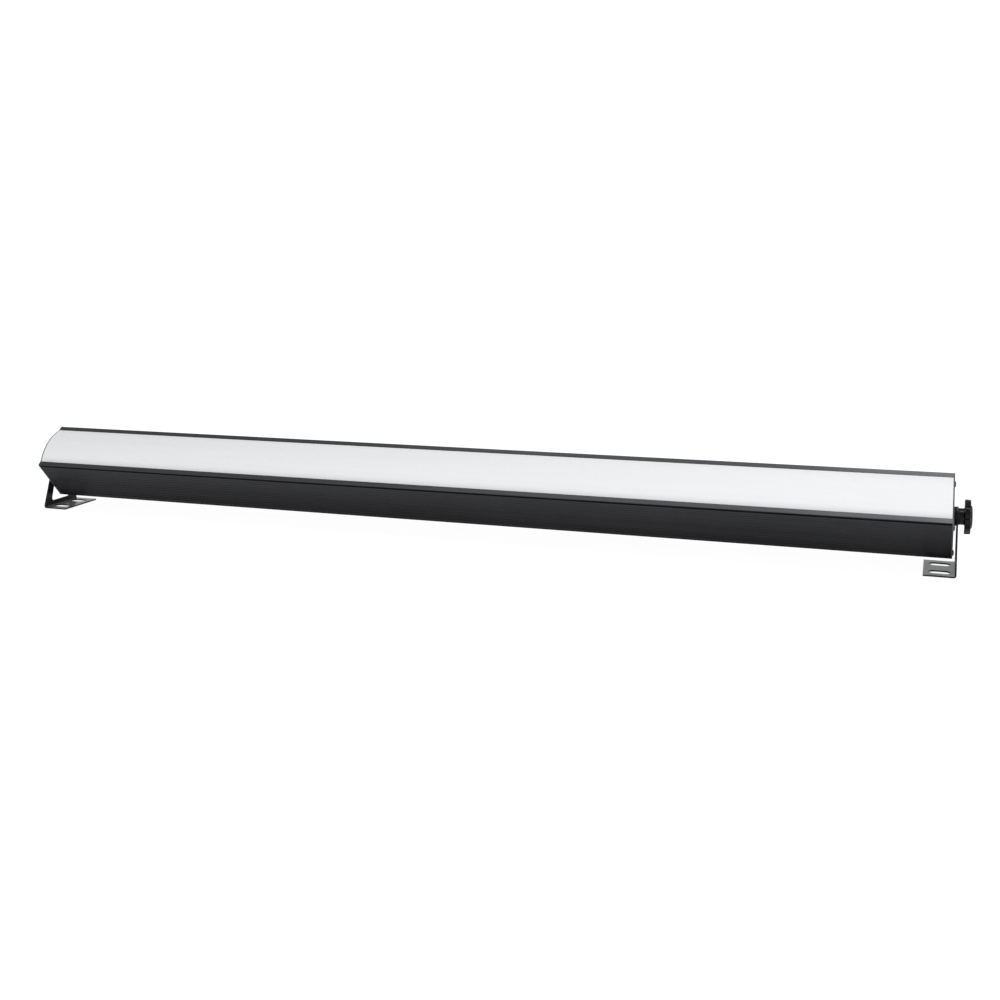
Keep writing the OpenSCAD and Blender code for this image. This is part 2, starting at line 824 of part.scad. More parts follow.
module psu_heatsink() {
    color(steel) on_floor(psu_x[1] - 113) {
        slab([3, 38], board_top, board_top + 22);
        for (y = [-18 : 6 : 18]) translate([-3.5, y, 0]) slab([6, 1.6], board_top, board_top + 22);
    }
}

module driver_components() {
    color(moulding) on_floor(driver_x[0]) {
        for (i = [0 : 4]) translate([72 + i * 10, 13, 0])
            slab([8, 4.5], board_top, board_top + 15);
        translate([80, -6, 0]) slab([14, 14], board_top, board_top + 1.6);
        for (y = [-10, 4]) translate([32, y, 0]) slab([12, 8], board_top, board_top + 9);
        translate([104, -6, 0]) slab([10, 10], board_top, board_top + 6);
    }
}

terminal_pitch = 7.62;
terminal_face = 12; // from a board's end to the face that the wires enter
terminal_z = 11;    // height of the wire entries

// Screw terminal block with one entry for each wire, centred in Y
module terminal_block(poles, facing) {
    color([0.1, 0.35, 0.2]) difference() {
        slab([10, poles * terminal_pitch], board_top, board_top + 12);
        for (k = [0 : poles - 1]) translate([0, (k - (poles - 1) / 2) * terminal_pitch, 0]) {
            translate([facing * 4.5, 0, 0])
                slab([3, 3.4], terminal_z - 1.7, terminal_z + 1.7);
            translate([0, 0, board_top + 9]) cylinder(r = 2, h = 4);
        }
    }
}

module board_terminals() {
    on_floor(psu_x[1] - terminal_face) terminal_block(5, 1);
    on_floor(driver_x[0] + terminal_face) translate([0, -11.43, 0]) terminal_block(2, -1);
    color([0.9, 0.9, 0.86]) {
        // signal header, feed header, and the two ends of the display ribbon
        on_floor(driver_x[0] + 8) translate([0, 0.2, 0]) slab([6, 6], board_top, board_top + 5);
        on_floor(feed_x + 14) translate([0, -2, 0]) slab([6, 8], board_top, board_top + 5);
        on_floor(driver_x[0] + 12) translate([0, ribbon_y, 0])
            slab([4, ribbon_w + 1], board_top, board_top + header_h);
        on_floor(ribbon_x) translate([0, ribbon_y, 0])
            slab([4, ribbon_w + 1], ribbon_low, ribbon_low + header_h);
    }
}

module board_pillars() {
    color(brass_metal) on_floor() for (p = concat(pillar_places(psu_x), pillar_places(driver_x)))
        translate([p[0], p[1], 0]) difference() {
            cylinder(r = pillar_r, h = pillar_h, $fn = 6);
            translate([0, 0, 1]) cylinder(r = 1.35, h = pillar_h, $fn = 24);
        }
}

module board_screws() {
    color(steel) on_floor() for (p = concat(pillar_places(psu_x), pillar_places(driver_x)))
        translate([p[0], p[1], pillar_h + board_t]) pan_screw(2.7, 1.6, 1.3, 4, $fn = 24);
}

// Stud on the back wall with two ring tags under a nut
module earth_stud() {
    color(brass_metal) on_floor(stud_x) {
        cylinder(r = 2, h = 9);
        for (tag = [[1.4, 4.2, -40], [3.2, -4.2, 160]]) translate([0, 0, tag[0]]) {
            ring(4, 2 - eps, 1);
            rotate(atan2(tag[0] > 2 ? 1.4 : -4, tag[1])) translate([4, 0, 0.5])
                slab([3, 3], -0.5, 0.5);
        }
        translate([0, 0, 4.3]) ring(3.6, 2 - eps, 3, $fn = 6);
    }
}

// ---------------------------------------------------------------- wires

wire_r = 1.1;

// Points are [x, y across the back, height above the inside of the back wall]
module wire(points, shade, r = wire_r, up = [0, 1, 0]) {
    color(shade) on_floor() tube(points, r, up);
}

live_brown = [0.42, 0.22, 0.1];
neutral_blue = [0.1, 0.25, 0.6];
earth_green = [0.2, 0.55, 0.15];

// Inlet to fuse, fuse to power supply, and inlet to outlet
module live_wires() {
    wire([[-125, 3.15, 22.2], [-125, 3.15, 24], [-123, 4.6, 28], [-116, 7.4, 29.8], [-100, 8.5, 30],
        [-70, 8.5, 30], [-48, 6, 29.6], [-38, 1.2, 28.7], [-33.4, 0, 28.4], [-31.4, 0, 28.4]],
        live_brown);
    wire([[-26.6, 0, 28.4], [-25, 0, 28.4], [-22, 1.4, 28.6], [-19.5, 6, 29.4], [-23, 12, 30], [-36, 14, 30],
        [-80, 14.2, 30], [-125, 14.6, 29], [-148, 15.2, 21], [-161, 15.24, 13],
        [-168, 15.24, 11.1], [-179, 15.24, 11]], live_brown, up = [0, 0, 1]);
    wire([[-125, 0.85, 22.2], [-125, 0.85, 24], [-122, 0.5, 27], [-116, 0.2, 28],
        [-100, 0.1, 28.2], [-84, 1.2, 28], [-76, 2.6, 26.8], [-71, 3.15, 24],
        [-71, 3.15, 22.2]], live_brown);
}

// Inlet to power supply, and inlet to outlet
module neutral_wires() {
    wire([[-111, 3.15, 22.2], [-111, 3.15, 23.6], [-115, 5.6, 26], [-125, 7.2, 25.6],
        [-145, 7.7, 20], [-160, 7.62, 13], [-168, 7.62, 11.1], [-179, 7.62, 11]], neutral_blue);
    wire([[-111, 0.85, 22.2], [-111, 0.85, 23.6], [-107, 0.5, 25], [-95, -0.3, 25.2],
        [-75, -0.4, 25.2], [-64, 0.7, 25.1], [-57, 2, 23.6], [-57, 2, 22.2]], neutral_blue);
}

// Inlet to outlet, inlet to the housing stud, and stud to power supply
module earth_wires() {
    wire([[-118, -1.85, 22.2], [-118, -1.85, 23.6], [-115, -2.4, 25.5], [-108, -4, 26.2],
        [-95, -4.4, 25.6],
        [-75, -4.5, 25.6], [-67, -4.2, 25.2], [-64, -3, 23.8], [-64, -3, 22.2]], earth_green);
    wire([[-118, -4.15, 22.2], [-118, -4.15, 23.8], [-124, -5.8, 25.4], [-136, -5.6, 20],
        [-143, -4.6, 10], [-146, -4.2, 4.4], [-149.2, -4, 2.9]], earth_green);
    wire([[-157, -1.4, 4.8], [-160, -1, 5.6], [-164, -0.3, 9.4], [-169, 0, 10.9],
        [-179, 0, 11]], earth_green);
}

// Power supply to driver, and driver to the light boards
module low_voltage_wires() {
    for (k = [0, 1]) {
        pole = (-1 - k) * terminal_pitch;
        entry = -terminal_pitch * (1 + k);
        lane = -12.5 - 3.4 * k;
        wire([[-179, pole, 11], [-168, pole, 11.1], [-161, pole - 0.4, 13], [-146, lane, 23],
            [-128, lane, 29], [-100, lane, 30], [0, lane, 30], [120, lane, 30],
            [142, lane + 0.6, 27], [158, entry, 15], [167, entry, 11.2], [181, entry, 11]],
            k == 0 ? [0.05, 0.05, 0.05] : [0.7, 0.08, 0.06]);
    }
    for (k = [-1 : 1])
        wire([[feed_x + 14, -2 + 2.2 * k, board_top + 5], [feed_x + 14, -2 + 2.2 * k, 13.4],
            [feed_x + 13, -1.8 + 2.2 * k, 16], [feed_x + 9, -1 + 2.2 * k, 22], [feed_x + 2.4, 2.2 * k, 28],
            [feed_x + 0.2, 2.2 * k, 33], [feed_x, 2.2 * k, 36.4]], [0.85, 0.85, 0.82], 0.8);
}

module signal_wires() {
    low = [for (p = xlr_contacts) -p[1]];
    reach = [for (p = xlr_contacts) p[0]];
    arch = [28.4, 25.6, 25.6];
    shade = [0.6, 0.6, 0.63];
    for (k = [0 : 2]) {
        in_x = dmx_in_x + reach[k];
        out_x = dmx_out_x - reach[k];
        low_y = low[k] + 0.65;
        // input to output
        wire([[in_x, low_y, 22.2], [in_x, low_y, 23.4], [in_x + 3, low_y + 0.2, arch[k]],
            [out_x - 3, low_y + 0.2, arch[k]], [out_x, low_y, 23.4], [out_x, low_y, 22.2]],
            shade, 0.55);
        // output to driver
        tail_y = low[k] - 0.65;
        lane_y = 4 - 3 * k;
        end_y = 2.6 - 1.6 * k;
        wire([[out_x, tail_y, 22.2], [out_x, tail_y, 23.6 + k],
            [out_x + 5, (tail_y + lane_y) / 2, 26.6 + k], [148, lane_y, 24 + k],
            [168, (lane_y + end_y) / 2, 18], [179, end_y, 15.8], [180, end_y, 13.6],
            [180, end_y, board_top + 5]],
            shade, 0.55);
    }
}

ribbon_x = 58;
ribbon_y = 8;
ribbon_w = 8;
ribbon_t = 0.9;
ribbon_low = 7.8; // inner face of the display board
header_h = 4;
ribbon_top = 33;

module display_ribbon() {
    points = [
        [ribbon_x, ribbon_low + header_h], [ribbon_x, ribbon_low + header_h + 3],
        [ribbon_x + 1, 18.5], [ribbon_x + 9, 28], [ribbon_x + 28, ribbon_top],
        [driver_x[0] - 40, ribbon_top], [driver_x[0] - 10, 28], [driver_x[0] + 9, 19],
        [driver_x[0] + 12, board_top + header_h + 3], [driver_x[0] + 12, board_top + header_h]
    ];
    path = smooth_path(points, 5);
    n = len(path);
    side = [for (i = [0 : n - 1])
        let (ahead = path_heading(points, path, i))
        ribbon_t / 2 * [-ahead[1], ahead[0]] / norm(ahead)];
    color([0.5, 0.5, 0.53]) on_floor() translate([0, ribbon_y + ribbon_w / 2, 0])
        rotate([90, 0, 0]) linear_extrude(ribbon_w) polygon(concat(
            [for (i = [0 : n - 1]) path[i] + side[i]],
            [for (i = [n - 1 : -1 : 0]) path[i] - side[i]]
        ));
}

// ---------------------------------------------------------------- nodes

housing();
diffuser();
end_cap(-1);  // end_cap_left
end_cap(1);  // end_cap_right
end_cap_screws();
pivot_inserts();
pivot_spacer(-1);  // pivot_spacer_left
pivot_spacer(1);  // pivot_spacer_right
bracket(-1);  // bracket_left
bracket(1);  // bracket_right
knob_washer(-1);  // knob_washer_left
knob_washer(1);  // knob_washer_right
knob(-1);  // knob_left
knob(1);  // knob_right
knob_stud(-1);  // knob_stud_left
knob_stud(1);  // knob_stud_right
led_tray();
led_board(1);  // led_board_1
led_board(2);  // led_board_2
led_board(3);  // led_board_3
led_board(4);  // led_board_4
leds();
led_board_screws();
led_board_links();
control_panel();
rear_screws();
mains_inlet();
mains_outlet();
connector_pins();
fuse_holder();
fuse_cap();
fuse();
dmx_input();
dmx_output();
dmx_output_latch();
display_board();
display_module();
display_window();
menu_button(1);  // menu_button_1
menu_button(2);  // menu_button_2
menu_button(3);  // menu_button_3
menu_button(4);  // menu_button_4
menu_switches();
plain_board(psu_x);  // psu_board
psu_choke();
psu_transformer();
psu_capacitors();
psu_heatsink();
plain_board(driver_x);  // driver_board
driver_components();
board_terminals();
board_pillars();
board_screws();
earth_stud();
live_wires();
neutral_wires();
earth_wires();
low_voltage_wires();
signal_wires();
display_ribbon();
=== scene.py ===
"""Looks of the LED strip batten: studio, materials and the detailed outer pieces."""

import json
import math

import bmesh
import bpy
from mathutils import Matrix, Vector


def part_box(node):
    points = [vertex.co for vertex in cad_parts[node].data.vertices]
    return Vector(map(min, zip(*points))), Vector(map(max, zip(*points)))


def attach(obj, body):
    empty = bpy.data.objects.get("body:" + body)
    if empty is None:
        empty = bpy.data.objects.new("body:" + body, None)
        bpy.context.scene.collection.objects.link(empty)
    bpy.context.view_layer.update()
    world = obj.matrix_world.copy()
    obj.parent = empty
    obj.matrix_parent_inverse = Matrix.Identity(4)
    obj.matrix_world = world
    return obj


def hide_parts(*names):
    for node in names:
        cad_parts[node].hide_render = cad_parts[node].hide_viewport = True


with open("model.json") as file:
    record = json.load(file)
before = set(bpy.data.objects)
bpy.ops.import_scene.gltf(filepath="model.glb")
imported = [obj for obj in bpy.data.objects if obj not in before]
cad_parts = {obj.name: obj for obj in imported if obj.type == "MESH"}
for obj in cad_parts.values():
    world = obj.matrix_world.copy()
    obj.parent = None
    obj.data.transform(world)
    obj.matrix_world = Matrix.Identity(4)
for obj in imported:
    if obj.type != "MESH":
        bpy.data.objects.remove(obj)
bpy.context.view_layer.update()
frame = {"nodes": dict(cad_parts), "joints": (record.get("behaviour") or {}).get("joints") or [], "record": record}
NODES = frame["nodes"]
RECORD = frame["record"]
SLOT_OF = {part["node"]: part["material_slot"] for part in RECORD["subparts"]}
BODY_OF = {
    node: body
    for body, nodes in RECORD["behaviour"]["bodies"].items()
    for node in nodes
}
MM = 0.001

# ------------------------------------------------------------------ frame facts

PIVOT_Z = next(j["pos_m"][2] for j in frame["joints"] if j["name"] == "tilt_right")
FUSE_AXIS = next(j["axis"] for j in frame["joints"] if j["name"] == "fuse_slide")
TILT = math.asin(FUSE_AXIS[1])  # the back wall's normal gives the batten's tilt
RAIL_FACE = 27.75 * MM  # from the tilt axis to the rails' front plane, in the tilted frame


# ------------------------------------------------------------------ camera and studio

CAMERA_PLACE = (0.4852, -1.2377, PIVOT_Z + 0.2686)
CAMERA_AZIMUTH, CAMERA_DOWN, CAMERA_ROLL = (math.radians(d) for d in (19.24, 7.12, -0.454))
SENSOR_MM, LENS_MM = 36, 45.9
FRAME_SHIFT = -0.1116  # the picture's frame sits off the lens axis

COOL = (0.982, 0.993, 1.0)  # every light is a touch blue

# Overhead strip light, in panels from right to left: centre X, length, radiance.
# The rails mirror it, so it is brighter over the right end.
STRIP = [(0.69, 0.62, 6.9), (-0.035, 0.83, 1.8), (-0.9, 0.9, 0.4)]
STRIP_Y = -0.09
STRIP_HEIGHT = 1.2
STRIP_WIDTH = 0.3

FRONT_PLACE, FRONT_AIM = (1.3, -1.5, 0.7), (0.3, 0, 0.05)
FRONT_SIZE, FRONT_WATTS = (0.8, 0.8), 3

# Strength of the world: white up to one height of the sky, and dimmer above another
HORIZON_TOP, HORIZON_STRENGTH = 0.2, 1.15
OVERHEAD_FROM, OVERHEAD_STRENGTH = 0.6, 0.60

FLOOR_HALF = 12
FLOOR_DROP = 0.0002  # keeps the floor clear of the feet
FLOOR_GLOW = 0.9


def add_camera():
    camera = bpy.data.objects.new("camera", bpy.data.cameras.new("camera"))
    bpy.context.scene.collection.objects.link(camera)
    bpy.context.scene.camera = camera
    turn = (
        Matrix.Rotation(CAMERA_AZIMUTH, 4, "Z")
        @ Matrix.Rotation(math.pi / 2 - CAMERA_DOWN, 4, "X")
        @ Matrix.Rotation(CAMERA_ROLL, 4, "Z")
    )
    camera.matrix_world = Matrix.Translation(CAMERA_PLACE) @ turn
    camera.data.sensor_width = SENSOR_MM
    camera.data.lens = LENS_MM
    camera.data.shift_y = FRAME_SHIFT
    camera.data.clip_start = 10 * MM


def area_light(name, place, aim, size, power):
    light = bpy.data.objects.new(name, bpy.data.lights.new(name, "AREA"))
    bpy.context.scene.collection.objects.link(light)
    light.data.shape = "RECTANGLE"
    light.data.size, light.data.size_y = size
    light.data.energy = power
    light.data.color = COOL
    light.location = place
    light.rotation_euler = (Vector(aim) - Vector(place)).to_track_quat("-Z", "Y").to_euler()


def add_lights():
    for number, (centre, length, radiance) in enumerate(STRIP, 1):
        power = radiance * math.pi * length * STRIP_WIDTH
        area_light(f"strip_{number}", (centre, STRIP_Y, STRIP_HEIGHT), (centre, STRIP_Y, 0),
                   (length, STRIP_WIDTH), power)
    area_light("front", FRONT_PLACE, FRONT_AIM, FRONT_SIZE, FRONT_WATTS)


def add_world():
    """White all round the horizon, and dimmer overhead."""
    world = bpy.data.worlds.new("studio")
    bpy.context.scene.world = world
    world.use_nodes = True
    tree = world.node_tree
    direction = tree.nodes.new("ShaderNodeTexCoord")
    parts = tree.nodes.new("ShaderNodeSeparateXYZ")
    fade = tree.nodes.new("ShaderNodeMapRange")
    fade.interpolation_type = "SMOOTHSTEP"
    for socket, value in (("From Min", HORIZON_TOP), ("From Max", OVERHEAD_FROM),
                          ("To Min", HORIZON_STRENGTH), ("To Max", OVERHEAD_STRENGTH)):
        fade.inputs[socket].default_value = value
    tree.links.new(direction.outputs["Generated"], parts.inputs[0])
    tree.links.new(parts.outputs["Z"], fade.inputs["Value"])
    background = tree.nodes["Background"]
    background.inputs["Color"].default_value = (*COOL, 1)
    tree.links.new(fade.outputs[0], background.inputs["Strength"])
    bpy.context.scene.view_settings.view_transform = "Standard"


def add_floor():
    mesh = bpy.data.meshes.new("floor")
    floor = bpy.data.objects.new("floor", mesh)
    bpy.context.scene.collection.objects.link(floor)
    bm = bmesh.new()
    bmesh.ops.create_grid(bm, x_segments=1, y_segments=1, size=FLOOR_HALF)
    bm.to_mesh(mesh)
    bm.free()
    floor.location.z = -FLOOR_DROP
    paint(floor, material_floor())


# ------------------------------------------------------------------ material nodes

EDGE_GAIN = 6.0  # how fast wear comes up as a surface turns away at an edge


class Shader:
    """A Principled material and the few nodes that its detail needs.

    A plain number or colour goes on the shader's own socket, and a pattern is linked to it.
    """

    def __init__(self, name, colour, rough, metallic=0.0, **extra):
        self.material = bpy.data.materials.new(name)
        self.material.use_nodes = True
        self.tree = self.material.node_tree
        self.principled = self.tree.nodes["Principled BSDF"]
        self.set("Base Color", (*colour, 1))
        self.set("Roughness", rough)
        self.set("Metallic", metallic)
        for socket, value in extra.items():
            self.set(socket.replace("_", " "), value)

    def set(self, socket, value):
        self.principled.inputs[socket].default_value = value

    def node(self, kind, **inputs):
        node = self.tree.nodes.new(kind)
        for name, value in inputs.items():
            self.feed(node, name.replace("_", " "), value)
        return node

    def feed(self, node, name, value):
        socket = node.inputs[int(name[1:]) if name[0] == "i" and name[1:].isdigit() else name]
        if isinstance(value, bpy.types.NodeSocket):
            self.tree.links.new(value, socket)
        else:
            socket.default_value = value

    def link(self, output, socket):
        self.tree.links.new(output, self.principled.inputs[socket])

    def math(self, operation, a, b=0.0, clamp=False):
        node = self.node("ShaderNodeMath", i0=a, i1=b)
        node.operation = operation
        node.use_clamp = clamp
        return node.outputs[0]

    def place(self, stretch=(1, 1, 1), turned=True):
        """Object coordinates, turned into the batten's own frame if asked, and stretched."""
        source = self.node("ShaderNodeTexCoord").outputs["Object"]
        if turned:
            rotate = self.node("ShaderNodeVectorRotate", Vector=source, Center=(0, 0, PIVOT_Z),
                               Angle=-TILT)
            rotate.rotation_type = "X_AXIS"
            source = rotate.outputs[0]
        mapping = self.node("ShaderNodeMapping", Vector=source, Scale=stretch)
        return mapping.outputs[0]

    def axis(self, name):
        """X, Y or Z of the surface in the batten's own frame."""
        return self.node("ShaderNodeSeparateXYZ", Vector=self.place()).outputs[name]

    def depth(self):
        """How far the surface is from the tilt axis, towards the diffuser's side."""
        return self.math("SUBTRACT", self.axis("Z"), PIVOT_Z)

    def noise(self, scale, detail=4.0, stretch=(1, 1, 1), turned=True):
        node = self.node("ShaderNodeTexNoise", Vector=self.place(stretch, turned), Scale=scale,
                         Detail=detail)
        return node.outputs["Fac"]

    def ramp(self, value, low, high, out_low=0.0, out_high=1.0):
        """From out_low to out_high as the value goes from low to high, and held outside them."""
        node = self.node("ShaderNodeMapRange", Value=value)
        for name, number in (("From Min", low), ("From Max", high),
                             ("To Min", out_low), ("To Max", out_high)):
            node.inputs[name].default_value = number
        return node.outputs[0]

    def mix(self, factor, a, b):
        node = self.tree.nodes.new("ShaderNodeMix")
        node.data_type = "RGBA"
        self.feed(node, "i0", factor)
        for index, value in ((6, a), (7, b)):
            if isinstance(value, bpy.types.NodeSocket):
                self.tree.links.new(value, node.inputs[index])
            else:
                node.inputs[index].default_value = (*value, 1)
        return node.outputs[2]

    def edges(self, radius):
        """1 on sharp edges and 0 on open faces, for wear."""
        bevel = self.node("ShaderNodeBevel", Radius=radius)
        bevel.samples = 4
        geometry = self.node("ShaderNodeNewGeometry")
        dot = self.node("ShaderNodeVectorMath", i0=bevel.outputs[0], i1=geometry.outputs["Normal"])
        dot.operation = "DOT_PRODUCT"
        turned = self.math("SUBTRACT", 1.0, dot.outputs["Value"])
        return self.math("MULTIPLY", turned, EDGE_GAIN, clamp=True)

    def bump(self, height, strength, distance, normal=None):
        node = self.node("ShaderNodeBump", Height=height, Strength=strength, Distance=distance)
        if normal is not None:
            self.tree.links.new(normal, node.inputs["Normal"])
        return node.outputs[0]


def scaled(colour, factor, lift=0.0):
    """The colour times a factor, plus a little, kept at or below 1."""
    return tuple(min(1, c * factor + lift) for c in colour)


def paint(obj, material):
    obj.data.materials.clear()
    obj.data.materials.append(material)


# ------------------------------------------------------------------ materials

def material_floor():
    """A pale floor lit partly from below, like a light table, so that shadows stay faint."""
    s = Shader("studio_floor", (0.25, 0.25, 0.25), 0.9, Specular_IOR_Level=0.0)
    s.set("Emission Color", (1, 1, 1, 1))
    s.set("Emission Strength", FLOOR_GLOW)
    s.link(s.mix(s.noise(3, 3, turned=False), (0.24, 0.24, 0.24), (0.26, 0.26, 0.26)), "Base Color")
    return s.material


def anodised(name, side_painted_shade, rail, worn):
    """Black anodised extrusion: die lines along X, faint mottling, paler worn edges.

    The rails' faces are brushed brighter than the sides. The groove under them is painted near
    black, as painted shade in the recess, and the sides are painted darker towards the back wall,
    as painted shade for the shadowed floor that they reflect.
    """
    s = Shader(name, side_painted_shade[0], 0.36, Specular_IOR_Level=0.03)
    lines = s.noise(260, 5, stretch=(0.012, 1, 1))
    fine_lines = s.noise(1900, 3, stretch=(0.004, 1, 1))
    mottle = s.noise(14, 4)
    grain = s.noise(5200, 2)
    depth = s.depth()
    on_rail = s.ramp(depth, RAIL_FACE - 0.5 * MM, RAIL_FACE - 0.3 * MM)
    groove_painted_shade = s.math("MULTIPLY", s.ramp(depth, RAIL_FACE - 3.4 * MM, RAIL_FACE - 3.1 * MM),
                       s.math("SUBTRACT", 1.0, on_rail))
    # painted shade: the sides are painted darker from the front edge towards the back wall
    tone = s.mix(s.ramp(depth, -RAIL_FACE, RAIL_FACE), *side_painted_shade)
    tone = s.mix(s.math("MULTIPLY", s.ramp(lines, 0.35, 0.65), 0.05), tone, worn)
    tone = s.mix(s.math("MULTIPLY", s.ramp(mottle, 0.4, 0.7), 0.03), tone, worn)
    # painted shade: the groove under each rail is painted near black
    tone = s.mix(groove_painted_shade, tone, (0.002, 0.002, 0.002))
    finish = s.mix(s.ramp(lines, 0.35, 0.65), rail, scaled(rail, 1.2))
    tone = s.mix(on_rail, tone, finish)
    wear = s.math("MULTIPLY", s.edges(0.4 * MM), s.ramp(s.noise(60, 6), 0.45, 0.75))
    s.link(s.mix(s.math("MULTIPLY", wear, 0.4), tone, worn), "Base Color")
    s.link(on_rail, "Metallic")
    roughness = s.ramp(lines, 0.3, 0.7, 0.31, 0.41)
    s.link(s.math("ADD", roughness, s.ramp(mottle, 0.3, 0.7, -0.03, 0.04)), "Roughness")
    streaks = s.bump(fine_lines, 0.25, 0.03 * MM)
    s.link(s.bump(grain, 0.12, 0.02 * MM, streaks), "Normal")
    return s.material


def opal_plastic():
    """Opal polycarbonate: soft gloss, faint lengthwise draw lines and a slight mottle.

    Along its lower edge, where it goes into the rail, it is painted greyer as painted shade, and a
    thin line of the upper edge is painted dark as the painted shadow of the rail's lip over the gap.
    """
    white = (0.78, 0.785, 0.795)
    s = Shader("opal_polycarbonate", white, 0.55, Subsurface_Weight=0.12,
               Subsurface_Radius=(0.004, 0.004, 0.004), Subsurface_Scale=0.6,
               Specular_IOR_Level=0.2)
    lines = s.noise(170, 4, stretch=(0.006, 1, 1))
    cloud = s.noise(7, 3, stretch=(0.4, 1, 1))
    dust = s.noise(3200, 2)
    tone = s.mix(s.ramp(lines, 0.38, 0.62), white, (0.795, 0.80, 0.81))
    tone = s.mix(s.math("MULTIPLY", s.ramp(cloud, 0.4, 0.7), 0.25), tone, (0.76, 0.765, 0.775))
    lower_side = s.ramp(s.axis("Y"), -2 * MM, 2 * MM, 1.0, 0.0)
    near_rail = s.ramp(s.depth(), RAIL_FACE, RAIL_FACE + 3 * MM, 1.0, 0.0)
    lower_edge_painted_shade = s.math("MULTIPLY", s.math("POWER", near_rail, 1.6), lower_side)
    # painted shade: greyer towards the lower edge, where the cover meets its rail
    tone = s.mix(s.math("MULTIPLY", lower_edge_painted_shade, 0.32), tone, (0.25, 0.25, 0.26))
    # painted shadow: a thin near-black line along the upper edge, under the rail's lip
    gap = s.math("MULTIPLY", s.ramp(s.depth(), RAIL_FACE + 0.25 * MM, RAIL_FACE + 0.4 * MM, 1, 0),
                 s.math("SUBTRACT", 1.0, lower_side))
    tone = s.mix(gap, tone, (0.01, 0.01, 0.01))
    s.link(tone, "Base Color")
    s.link(s.ramp(lines, 0.3, 0.7, 0.5, 0.6), "Roughness")
    drawn = s.bump(lines, 0.12, 0.05 * MM)
    s.link(s.bump(dust, 0.05, 0.02 * MM, drawn), "Normal")
    return s.material


def powder_coat(name, colour, rough, shine=0.5, bare=(0.2, 0.2, 0.205), rim=None, dust=None):
    """Powder coat on sheet: orange peel, fine sparkle in the roughness, rubbed edges.

    With a rim colour, the sheet's cut edges between its two faces across X are bare. With the
    colour passed as dust, the faces that look up are painted paler: painted light from above.
    """
    s = Shader(name, colour, rough, Specular_IOR_Level=shine)
    skin = s.noise(1300, 3, turned=False)
    fine = s.noise(5200, 2, turned=False)
    patch = s.noise(28, 5, turned=False)
    rub = s.math("MULTIPLY", s.edges(0.45 * MM), s.ramp(s.noise(110, 6, turned=False), 0.5, 0.72))
    paler = scaled(colour, 1.35, 0.004)
    tone = s.mix(s.ramp(patch, 0.35, 0.7), colour, paler)
    normal = s.node("ShaderNodeSeparateXYZ",
                    Vector=s.node("ShaderNodeNewGeometry").outputs["Normal"])
    if rim:
        cut = s.ramp(s.math("ABSOLUTE", normal.outputs["X"]), 0.3, 0.7, 1.0, 0.0)
        tone = s.mix(cut, tone, rim)
    if dust:
        # painted light: the faces that look up are painted paler, as if lit from above
        tone = s.mix(s.ramp(normal.outputs["Z"], 0.7, 0.95), tone, dust)
    s.link(s.mix(s.math("MULTIPLY", rub, 0.55), tone, bare), "Base Color")
    s.link(s.math("ADD", s.ramp(patch, 0.3, 0.7, rough - 0.05, rough + 0.06),
                  s.ramp(fine, 0.3, 0.7, -0.02, 0.03)), "Roughness")
    s.link(s.bump(fine, 0.06, 0.02 * MM, s.bump(skin, 0.22, 0.06 * MM)), "Normal")
    return s.material


def moulded(name, colour, rough, grain=0.2, coat=0.0, shine=0.5, edge_wear_and_highlight=0.02):
    """Moulded plastic: fine spark-eroded grain, soft colour drift, paler edges.

    A small edge lift is rubbed wear, and a large one, as on the knob, is a painted highlight.
    """
    s = Shader(name, colour, rough, Coat_Weight=coat, Coat_Roughness=0.2,
               Specular_IOR_Level=shine)
    texture = s.noise(2600, 3, turned=False)
    drift = s.noise(45, 4, turned=False)
    paler = scaled(colour, 1.5, 0.001)
    # paler edges: rubbed wear when the lift is small, a painted highlight when it is large
    worn = scaled(colour, 2, edge_wear_and_highlight)
    rub = s.math("MULTIPLY", s.edges(0.4 * MM), s.ramp(s.noise(150, 5, turned=False), 0.45, 0.75))
    tone = s.mix(s.ramp(drift, 0.35, 0.7), colour, paler)
    s.link(s.mix(s.math("MULTIPLY", rub, 0.6), tone, worn), "Base Color")
    s.link(s.ramp(drift, 0.3, 0.7, rough - 0.05, rough + 0.07), "Roughness")
    s.link(s.bump(texture, grain, 0.04 * MM), "Normal")
    return s.material


def plated(name, colour, rough, brush=(1, 1, 1), drift_colour=None):
    """Plated or turned metal: fine tool marks, faint passivation tints, bright edges."""
    s = Shader(name, colour, rough, metallic=1.0)
    marks = s.noise(2400, 4, stretch=brush, turned=False)
    stain = s.noise(160, 5, turned=False)
    other = drift_colour or scaled(colour, 0.82)
    tone = s.mix(s.ramp(stain, 0.38, 0.68), colour, other)
    bright = scaled(colour, 1.25, 0.05)
    s.link(s.mix(s.math("MULTIPLY", s.edges(0.3 * MM), 0.6), tone, bright), "Base Color")
    s.link(s.math("ADD", s.ramp(marks, 0.3, 0.7, rough - 0.06, rough + 0.08),
                  s.ramp(stain, 0.4, 0.7, 0, 0.08)), "Roughness")
    s.link(s.bump(marks, 0.14, 0.02 * MM), "Normal")
    return s.material


